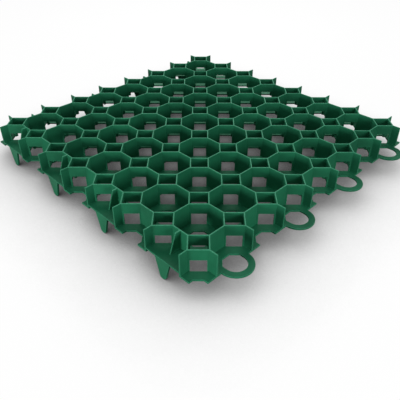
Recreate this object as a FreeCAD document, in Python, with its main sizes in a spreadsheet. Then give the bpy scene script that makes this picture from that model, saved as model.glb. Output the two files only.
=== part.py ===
"""Grass paver grid: one moulded panel of octagonal and square cells, in millimetres.

The grid is drawn about its own centre with its ground face at z = 0. Flat ring loops stand out from
the +X and +Y edges and ground spikes hang from the -X and -Y edges, alike about the diagonal y = x.
"""
import FreeCAD, Part

import math
import os
import re
import sys

import Sketcher

NODE = "paver_grid"
CELLS = 8                      # small squares along a side; octagons are centred between them
LINKED = range(1, CELLS, 2)    # half octagons along an edge that carry a ring or a spike

SIZES = {
    "pitch": 62.5,             # octagon centre to octagon centre
    "grid_height": 35,
    "wall_top": 1.6,           # cell wall at the rim
    "wall_foot": 2.4,          # cell wall where it meets the base flange
    "flange_thick": 2.5,
    "flange_hole": 31,         # across the flats of the octagonal hole
    "window_width": 20.5,
    "window_head": 19,         # windows rise to here from the ground face
    "ring_band": 8.8,
    "floor_gap": 5,            # room for a neighbour's ring under a spike cell
    "floor_thick": 2.2,
    "spike_root": 27.5,
    "spike_tip": 12,
    "spike_drop": 25,          # below the ground face
    "spike_thick": 3.5,
    "rib_thick": 2,
    "rib_reach": 7.5,          # from the wall, at the rim
    "rib_foot": 17.5,          # from the wall, at the floor of the spike cell
}

CELL_DEPTH = "(grid_height - flange_thick)"
DRAFT = f"((wall_foot - wall_top) / (2 * {CELL_DEPTH}))"
WINDOW_RUN = "(pitch * tan(22.5 deg) + 1.25 * wall_foot)"    # clear of the drafted walls at their feet
RING_RADIUS = "(flange_hole / 2 + ring_band)"
FLOOR_TOP = "(floor_gap + floor_thick)"

doc = FreeCAD.newDocument("grass_paver_grid")


def make_sheet():
    sheet = doc.addObject("Spreadsheet::Sheet", "Sizes")
    for row, (name, value) in enumerate(SIZES.items(), start=1):
        sheet.set(f"A{row}", name)
        sheet.set(f"B{row}", str(value))
        sheet.setAlias(f"B{row}", name)
    doc.recompute()


def size(text):
    """An expression in which every size name is read from the sheet."""
    return re.sub(r"[a-z_]+", lambda word: f"Sizes.{word[0]}" if word[0] in SIZES else word[0], text)


def make(kind, name, **bound):
    """An object whose properties follow expressions of the sizes."""
    made = doc.addObject(kind, name)
    for prop, text in bound.items():
        made.setExpression(prop, size(text))
    return made


def place(thing, x="0", y="0", z="0", axis=(0, 0, 1), turn=0):
    thing.Placement = FreeCAD.Placement(
        FreeCAD.Vector(), FreeCAD.Rotation(FreeCAD.Vector(*axis), turn))
    for name, text in (("x", x), ("y", y), ("z", z)):
        thing.setExpression(f"Placement.Base.{name}", size(text))
    return thing


def join(kind, name, *things):
    made = doc.addObject(kind, name)
    if kind == "Part::MultiFuse":
        made.Shapes = things
    elif kind == "Part::Compound":
        made.Links = things
    else:
        made.Base, made.Tool = things
    return made


def copy(name, thing, x, y, turn=0):
    """A link to one thing, moved to x, y and turned about z."""
    link = doc.addObject("App::Link", name)
    link.LinkedObject = thing
    link.LinkTransform = True
    return place(link, x, y, turn=turn)


def extruded(name, outline, direction, length, **bound):
    made = make("Part::Extrusion", name, LengthFwd=length, **bound)
    made.Base = outline
    made.DirMode = "Custom"
    made.Dir = FreeCAD.Vector(*direction)
    made.Solid = True
    return made


def drafted(name, flats, depth, turn):
    """A four-sided plug hung from the rim about z, narrowing downwards as the walls thicken."""
    wide = f"({flats}) / 2"
    slim = f"({wide} - {depth} * {DRAFT})"
    plug = make("Part::Wedge", name, Ymin=f"grid_height - {depth}", Ymax="grid_height",
                Xmin=f"-{slim}", Xmax=slim, Zmin=f"-{slim}", Zmax=slim,
                X2min=f"-{wide}", X2max=wide, Z2min=f"-{wide}", Z2max=wide)
    return copy(f"{name}Upright", place(plug, axis=(1, 0, 0), turn=90), "0", "0", turn)


def octagon(name, flats, height):
    prism = make("Part::Prism", name, Circumradius=f"({flats}) / 2 / cos(22.5 deg)", Height=height)
    prism.Polygon = 8
    return place(prism, turn=22.5)


def at(number):
    """Place of an octagon, or of a square at a half number, along a side."""
    return f"{number - CELLS / 2} * pitch"


def pin(sketch, kind, *where, to):
    index = sketch.addConstraint(Sketcher.Constraint(kind, *where, value(to)))
    sketch.setExpression(f"Constraints[{index}]", size(to))


def pin_point(sketch, edge, end, x, y):
    pin(sketch, "DistanceX", -1, 1, edge, end, to=x)
    pin(sketch, "DistanceY", -1, 1, edge, end, to=y)


def value(text):
    """The number an expression of the sizes comes to as the part is drawn."""
    return float(doc.getObject("Sizes").evalExpression(size(text)))


def spot(x, y):
    return FreeCAD.Vector(value(x), value(y), 0)


def cell_cutters():
    """Cutters for the octagons by place, with the flange hole or, in a spike cell, a ring's room below."""
    plug_a = drafted("PlugA", "pitch - wall_top", CELL_DEPTH, 0)
    plug_b = drafted("PlugB", "pitch - wall_top", CELL_DEPTH, 45)
    cell = join("Part::Common", "Cell", plug_a, plug_b)
    hole = octagon("FlangeHole", "flange_hole", "grid_height / 2")
    room = octagon("RingRoom", "pitch - wall_foot", "grid_height / 2")
    holed = join("Part::MultiFuse", "HoledCell", cell, hole)
    roomy = join("Part::MultiFuse", "RoomyCell", cell, room)
    spots = [(i, j) for i in range(CELLS + 1) for j in range(CELLS + 1)]
    return {(i, j): copy("CellAt", roomy if 0 in (i, j) and max(i, j) in LINKED else holed, at(i), at(j))
            for i, j in spots}


def square_cutters():
    """Cutters for the small squares by place, each with the windows through its four walls."""
    square = drafted("Square", "pitch * tan(22.5 deg) - wall_top", "grid_height", 45)
    slot = make("Part::Box", "WindowSlot", Length=WINDOW_RUN, Width="window_width", Height="window_head")
    place(slot, f"-{WINDOW_RUN} / 2", "-window_width / 2")
    windows = [copy("Windows", slot, "0", "0", turn) for turn in (45, 135)]
    windowed = join("Part::MultiFuse", "WindowedSquare", square, *windows)
    return {(i, j): copy("SquareAt", windowed, at(i + 0.5), at(j + 0.5))
            for i in range(CELLS) for j in range(CELLS)}


def lattice():
    """The drafted, windowed cell walls and the base flange, one row of squares to a strip."""
    cells, squares = cell_cutters(), square_cutters()
    strips = []
    for row in range(CELLS):
        strip = make("Part::Box", "Strip", Length="pitch", Width=f"{CELLS} * pitch", Height="grid_height")
        place(strip, at(row), at(0))
        for things, reached in ((cells, (row, row + 1)), (squares, (row,))):
            near = [thing for (i, j), thing in things.items() if i in reached]
            strip = join("Part::Cut", "Opened", strip, join("Part::Compound", "Cutters", *near))
        strips.append(strip)
    return strips


def ring():
    """Half a flat ring standing out along +Y, to close the notch of a half octagon into a loop."""
    rim = make("Part::Cylinder", "RingRim", Radius=RING_RADIUS, Height="flange_thick")
    bore = make("Part::Cylinder", "RingBore", Radius="flange_hole / 2", Height="flange_thick")
    rim.Angle = bore.Angle = 180
    return join("Part::Cut", "Ring", rim, bore)


def spike_outline():
    """A tapering tongue with a round tip, drawn upright in the plane of the edge."""
    sketch = place(doc.addObject("Sketcher::SketchObject", "SpikeOutline"), axis=(1, 0, 0), turn=90)
    turn = "spike_tip / 2 - spike_drop"
    half = value("spike_tip / 2")
    circle = Part.Circle(spot("0", turn), FreeCAD.Vector(0, 0, 1), half)
    corners = [spot("-spike_tip / 2", turn), spot("-spike_root / 2", FLOOR_TOP),
               spot("spike_root / 2", FLOOR_TOP), spot("spike_tip / 2", turn)]
    tip, left, root, right = sketch.addGeometry(
        [Part.ArcOfCircle(circle, math.pi, 2 * math.pi)]
        + [Part.LineSegment(a, b) for a, b in zip(corners, corners[1:])])
    meetings = (tip, 1, left, 1), (left, 2, root, 1), (root, 2, right, 1), (right, 2, tip, 2)
    for ends in meetings:
        sketch.addConstraint(Sketcher.Constraint("Coincident", *ends))
    pin_point(sketch, tip, 1, "-spike_tip / 2", turn)
    pin_point(sketch, tip, 2, "spike_tip / 2", turn)
    pin(sketch, "DistanceY", -1, 1, tip, 3, to=turn)
    pin_point(sketch, root, 1, "-spike_root / 2", FLOOR_TOP)
    pin_point(sketch, root, 2, "spike_root / 2", FLOOR_TOP)
    return sketch


def rib_outline():
    """A web against the inner wall of the half cell, wide at the floor and narrow at the rim."""
    sketch = place(doc.addObject("Sketcher::SketchObject", "RibOutline"), axis=(1, 1, 1), turn=120)
    foot = "floor_gap + floor_thick / 2"
    face = "pitch / 2 - wall_top / 2"
    corners = [("pitch / 2", foot), ("pitch / 2", "grid_height"),
               (f"{face} - rib_reach", "grid_height"), (f"{face} - rib_foot", foot)]
    spots = [spot(*corner) for corner in corners]
    edges = sketch.addGeometry([Part.LineSegment(a, b) for a, b in zip(spots, spots[1:] + spots[:1])])
    for edge, after, corner in zip(edges, edges[1:] + edges[:1], corners):
        sketch.addConstraint(Sketcher.Constraint("Coincident", edge, 2, after, 1))
        pin_point(sketch, edge, 1, *corner)
    return sketch


def spike_cell():
    """The raised whole floor of a half octagon at a -Y edge, with its ground spike and its rib."""
    plate = octagon("FloorOctagon", "pitch - wall_top", "floor_thick")
    plate.setExpression("Placement.Base.z", size("floor_gap"))
    inside = make("Part::Box", "InsideEdge", Length="pitch", Width="pitch / 2", Height="floor_thick")
    place(inside, "-pitch / 2", "0", "floor_gap")
    floor = join("Part::Common", "SpikeFloor", plate, inside)
    spike = extruded("Spike", spike_outline(), (0, 1, 0), "spike_thick")
    rib = extruded("Rib", rib_outline(), (1, 0, 0), "rib_thick")
    rib.Symmetric = True
    return join("Part::MultiFuse", "SpikeCell", floor, spike, rib)


def main():
    make_sheet()
    parts = lattice()
    low, high = at(0), at(CELLS)
    loop, spiked = ring(), spike_cell()
    for k in LINKED:
        parts += [copy("RingAt", loop, at(k), high), copy("RingAt", loop, high, at(k), -90)]
        parts += [copy("SpikeAt", spiked, at(k), low), copy("SpikeAt", spiked, low, at(k), -90)]
    panel = join("Part::MultiFuse", "Panel", *parts)
    panel.Refine = True
    panel.Label = NODE
    place(panel, f"-{RING_RADIUS} / 2", f"-{RING_RADIUS} / 2", "spike_drop")
    doc.recompute()

    bad = [o.Name for o in doc.Objects if "Invalid" in o.State or "Error" in o.State]
    bad += [o.Name for o in doc.Objects
            if hasattr(o, "Shape") and (o.Shape.isNull() or not o.Shape.isValid())]
    if bad or len(panel.Shape.Solids) != 1:
        sys.exit(f"not built: {bad}, {len(panel.Shape.Solids)} solids")
    os.makedirs("parts", exist_ok=True)
    panel.Shape.exportStep(os.path.join("parts", f"{panel.Label}.step"))
    box = panel.Shape.BoundBox
    print(f"{NODE}: {box.XLength:.2f} x {box.YLength:.2f} x {box.ZLength:.2f} mm, "
          f"{panel.Shape.Volume / 1000:.1f} cm3, {len(panel.Shape.Faces)} faces")


main()
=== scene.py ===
"""Grass paver grid of deep green moulded plastic, on a pale studio floor, seen across its front corner."""

import math

import bpy
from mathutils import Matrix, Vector


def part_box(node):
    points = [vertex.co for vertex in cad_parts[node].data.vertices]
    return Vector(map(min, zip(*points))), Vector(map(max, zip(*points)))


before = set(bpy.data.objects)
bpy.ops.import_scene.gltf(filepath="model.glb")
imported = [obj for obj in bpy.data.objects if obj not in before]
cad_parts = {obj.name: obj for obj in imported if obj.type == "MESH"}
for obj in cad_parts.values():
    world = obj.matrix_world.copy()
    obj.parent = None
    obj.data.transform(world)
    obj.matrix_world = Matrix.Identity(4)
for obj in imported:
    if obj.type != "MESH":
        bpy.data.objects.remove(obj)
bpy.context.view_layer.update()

MM = 0.001
NODE = "paver_grid"
CELLS = 8                         # small squares along a side
PITCH = 62.5 * MM                 # octagon centre to octagon centre
RING_REACH = 24.3 * MM            # rings stand out this far past two edges
LOW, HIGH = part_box(NODE)
RIM = HIGH.z
RING_CORNER = Vector((HIGH.x - RING_REACH, HIGH.y - RING_REACH, RIM))
CENTRE = RING_CORNER - Vector((1, 1, 0)) * PITCH * CELLS / 2

# the photograph's camera, fitted to the cell corners, in pitches and pixels
RIGHT = Vector((1, 1, 0)).normalized()
AWAY = Vector((-1, 1, 0)).normalized()
UP = Vector((0, 0, 1))
DIAGONAL = math.radians(45)
IMAGE_SIDE = 400
FOCAL_PIXELS = 471.3
CAMERA_DISTANCE = 9.837 * PITCH
CAMERA_ELEVATION = math.radians(35.97)
CAMERA_YAW = 0.0046               # off the diagonal, in radians
AIM_RIGHT = 0.0231 * PITCH
AIM_AWAY = -3.6163 * PITCH
SENSOR = 36.0
NEAR_LIMIT = 10 * MM

# the plastic, with noise scales in waves to the metre
GREEN = (0.0118, 0.128, 0.062)
# pale green of the painted highlight on rim tops and sharp edges
HIGHLIGHT_GREEN = (0.065, 0.35, 0.205)
CLOUD = {"Scale": 14.0, "Detail": 6.0, "Roughness": 0.6}
CLOUD_BAND = (0.35, 0.65)         # noise from the darkest green to the lightest
CLOUD_SHARES = (0.80, 1.18)       # those two greens, as shares of GREEN
# noise that breaks the painted highlight into patches
HIGHLIGHT_SPECKLE = {"Scale": 220.0, "Detail": 4.0, "Roughness": 0.7}
# heights at the top of the walls that take the painted highlight
RIM_HIGHLIGHT_BAND = (RIM - 0.9 * MM, RIM - 0.1 * MM)
EDGE_HIGHLIGHT_REACH = 1.0 * MM              # how far the pale painted highlight reaches in from a sharp edge
EDGE_HIGHLIGHT_BAND = (0.95, 0.55)          # room under the surface, from no painted highlight to the full painted highlight
GLOSS = {"Scale": 60.0, "Detail": 5.0}
ROUGHNESS = (0.46, 0.64)
SPECULAR = 0.1
SKIN = {"Scale": 1400.0, "Detail": 2.0}
SKIN_DEPTH = 0.2 * MM
SKIN_STRENGTH = 0.12

# the moulding's eased edges
WELD_GAP = 0.01 * MM
FLAT_ANGLE = math.radians(0.05)   # facets within this angle are one flat face
SHARP_ANGLE = math.radians(30)    # edges sharper than this are eased
EDGE_ROUND = 0.35 * MM
EDGE_STEPS = 2

# the floor and the light, in metres and watts
FLOOR_SIDE = 30
FLOOR_SEEN = (0.88, 0.89, 0.88)
FLOOR_LIT = (0.12, 0.13, 0.12)    # the floor's colour to the light that it throws back
FLOOR_ROUGHNESS = 0.9
FLOOR_GLOW = 0.96                 # share of white glow in the floor as it is seen
PAINTED_SHADOW_REACH = 150 * MM           # how far off the object still darkens the floor's glow in a painted shadow
PAINTED_SHADOW_DEPTH = 1.8                # above 1, the painted shadow under the object gets deeper
SURROUND = 0.42                   # light from all round, which is seen as white
LAMP_DISTANCE = 1.1
LAMPS = (                         # name, azimuth and elevation in degrees, side, power
    ("back", 225, 42, 0.8, 8),
    ("right", 78, 14, 0.3, 3.8),
    ("left", 5, 6, 0.2, 5),
)


class Nodes:
    """Short forms for building the nodes of a material or a world."""

    def __init__(self, tree):
        self.tree = tree

    def feed(self, socket, value):
        """Give an input its value: a number, a colour or another node's output."""
        if isinstance(value, bpy.types.NodeSocket):
            self.tree.links.new(value, socket)
        else:
            socket.default_value = value

    def add(self, kind, **values):
        """A new node, with its inputs and settings by name."""
        node = self.tree.nodes.new(kind)
        for key, value in values.items():
            if key in node.inputs:
                self.feed(node.inputs[key], value)
            else:
                setattr(node, key, value)
        return node

    def noise(self, place, settings):
        return self.add("ShaderNodeTexNoise", Vector=place, **settings).outputs["Fac"]

    def remap(self, value, start=(0, 1), end=(0, 1)):
        """A value carried from one range into another and held there."""
        node = self.add("ShaderNodeMapRange", Value=value)
        for key, limit in zip(("From Min", "From Max", "To Min", "To Max"), (*start, *end)):
            node.inputs[key].default_value = limit
        return node.outputs["Result"]

    def ramp(self, value, band, colours):
        """The first colour up to the band's start, the second from its end on."""
        node = self.add("ShaderNodeValToRGB", Fac=value)
        for element, position, colour in zip(node.color_ramp.elements, band, colours):
            element.position = position
            element.color = colour
        return node.outputs["Color"]

    def combine(self, operation, first, second):
        node = self.add("ShaderNodeMath", operation=operation)
        self.feed(node.inputs[0], first)
        self.feed(node.inputs[1], second)
        return node.outputs["Value"]

    def mix_colour(self, share, first, second):
        """The first colour where the share is 0, the second where it is 1."""
        node = self.add("ShaderNodeMix", data_type="RGBA", Factor=share)
        ends = [socket for socket in node.inputs if socket.type == "RGBA"]
        self.feed(ends[0], first)
        self.feed(ends[1], second)
        return next(socket for socket in node.outputs if socket.type == "RGBA")

    def seen(self):
        """1 for rays that show the surroundings: from the camera, by gloss or through clear matter."""
        rays = self.add("ShaderNodeLightPath").outputs
        plain = self.combine("MAXIMUM", rays["Is Camera Ray"], rays["Is Glossy Ray"])
        return self.combine("MAXIMUM", plain, rays["Is Transmission Ray"])


def new_material(name):
    """A material, its shader and its nodes."""
    material = bpy.data.materials.new(name)
    material.use_nodes = True
    return material, material.node_tree.nodes["Principled BSDF"], Nodes(material.node_tree)


def opaque(colour, by=1):
    """A colour made lighter or darker, with full alpha."""
    return (*(part * by for part in colour), 1)


def plastic():
    """Satin moulded plastic: cloudy colour, a pale painted highlight on rim tops and sharp edges, uneven
    gloss and a fine skin.
    """
    material, shader, nodes = new_material("green_plastic")
    place = nodes.add("ShaderNodeTexCoord").outputs["Object"]

    greens = [opaque(GREEN, share) for share in CLOUD_SHARES]
    cloudy_green = nodes.ramp(nodes.noise(place, CLOUD), CLOUD_BAND, greens)
    # painted highlight: rim tops by height and sharp edges by the little room under them, broken into
    # patches by noise
    height = nodes.add("ShaderNodeSeparateXYZ", Vector=place).outputs["Z"]
    rim = nodes.remap(height, start=RIM_HIGHLIGHT_BAND)
    room = nodes.add(
        "ShaderNodeAmbientOcclusion", Distance=EDGE_HIGHLIGHT_REACH, inside=True, only_local=True, samples=8)
    edge = nodes.remap(room.outputs["AO"], start=EDGE_HIGHLIGHT_BAND)
    lit_rims_and_edges = nodes.combine("MAXIMUM", rim, edge)
    painted_highlight = nodes.combine("MULTIPLY", lit_rims_and_edges, nodes.noise(place, HIGHLIGHT_SPECKLE))
    nodes.feed(shader.inputs["Base Color"], nodes.mix_colour(painted_highlight, cloudy_green, opaque(HIGHLIGHT_GREEN)))

    roughness = nodes.remap(nodes.noise(place, GLOSS), end=ROUGHNESS)
    nodes.feed(shader.inputs["Roughness"], roughness)
    nodes.feed(shader.inputs["Specular IOR Level"], SPECULAR)

    skin = nodes.noise(place, SKIN)
    bump = nodes.add("ShaderNodeBump", Height=skin, Strength=SKIN_STRENGTH, Distance=SKIN_DEPTH)
    nodes.feed(shader.inputs["Normal"], bump.outputs["Normal"])
    return material


def dress(grid):
    """The grid's own solid, with its edges eased as a mould leaves them."""
    grid.data.materials.clear()
    grid.data.materials.append(plastic())
    weld = grid.modifiers.new("weld", "WELD")
    weld.merge_threshold = WELD_GAP
    flats = grid.modifiers.new("flats", "DECIMATE")
    flats.decimate_type = "DISSOLVE"
    flats.angle_limit = FLAT_ANGLE
    eased = grid.modifiers.new("eased", "BEVEL")
    eased.width = EDGE_ROUND
    eased.segments = EDGE_STEPS
    eased.limit_method = "ANGLE"
    eased.angle_limit = SHARP_ANGLE
    eased.use_clamp_overlap = False


def pale_floor():
    """A floor that is seen as white but for a painted shadow of the object, drawn from ambient occlusion,
    and that throws little light back.
    """
    bpy.ops.mesh.primitive_plane_add(size=FLOOR_SIDE, location=(0, 0, LOW.z))
    floor = bpy.context.object
    floor.name = "floor"
    material, shader, nodes = new_material("floor")
    seen = nodes.seen()

    colour = nodes.mix_colour(seen, opaque(FLOOR_LIT), opaque(FLOOR_SEEN))
    nodes.feed(shader.inputs["Base Color"], colour)
    nodes.feed(shader.inputs["Roughness"], FLOOR_ROUGHNESS)
    nodes.feed(shader.inputs["Specular IOR Level"], 0)

    # painted shadow: the floor's white glow is dimmed by how much of the open sky the object hides
    open_above = nodes.add("ShaderNodeAmbientOcclusion", Distance=PAINTED_SHADOW_REACH, samples=16)
    painted_shadow = nodes.combine("POWER", open_above.outputs["AO"], PAINTED_SHADOW_DEPTH)
    glow = nodes.add("ShaderNodeEmission", Strength=painted_shadow)

    mix = nodes.add("ShaderNodeMixShader", Fac=nodes.combine("MULTIPLY", seen, FLOOR_GLOW))
    nodes.feed(mix.inputs[1], shader.outputs["BSDF"])
    nodes.feed(mix.inputs[2], glow.outputs["Emission"])
    surface = material.node_tree.nodes["Material Output"].inputs["Surface"]
    nodes.feed(surface, mix.outputs["Shader"])
    floor.data.materials.append(material)


def towards(azimuth, elevation):
    """A direction out from the object, by angles in radians; azimuth 0 is -Y and a quarter turn is +X."""
    flat = Vector((math.sin(azimuth), -math.cos(azimuth), 0))
    return flat * math.cos(elevation) + UP * math.sin(elevation)


def look_at(data, aim, direction, distance):
    """Put a lamp or camera at a distance from its aim, facing it."""
    thing = bpy.data.objects.new(data.name, data)
    bpy.context.scene.collection.objects.link(thing)
    thing.location = aim + direction * distance
    thing.rotation_euler = direction.to_track_quat("Z", "Y").to_euler()
    return thing


def studio():
    """An even pale surround, a high lamp behind for the rims and two low ones for the faces in front."""
    world = bpy.data.worlds.new("studio")
    bpy.context.scene.world = world
    world.use_nodes = True
    nodes = Nodes(world.node_tree)
    background = world.node_tree.nodes["Background"]
    nodes.feed(background.inputs["Color"], (1, 1, 1, 1))
    nodes.feed(background.inputs["Strength"], nodes.remap(nodes.seen(), end=(SURROUND, 1)))
    for name, azimuth, elevation, side, power in LAMPS:
        lamp = bpy.data.lights.new(name, "AREA")
        lamp.size = side
        lamp.energy = power
        direction = towards(math.radians(azimuth), math.radians(elevation))
        look_at(lamp, CENTRE, direction, LAMP_DISTANCE)


def camera():
    """The photograph's view, across the front corner towards the back one."""
    lens = bpy.data.cameras.new("camera")
    lens.sensor_width = SENSOR
    lens.lens = FOCAL_PIXELS / IMAGE_SIDE * SENSOR
    lens.clip_start = NEAR_LIMIT
    aim = CENTRE + RIGHT * AIM_RIGHT + AWAY * AIM_AWAY
    direction = towards(DIAGONAL + CAMERA_YAW, CAMERA_ELEVATION)
    bpy.context.scene.camera = look_at(lens, aim, direction, CAMERA_DISTANCE)


dress(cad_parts[NODE])
pale_floor()
studio()
camera()
bpy.context.scene.view_settings.view_transform = "Standard"
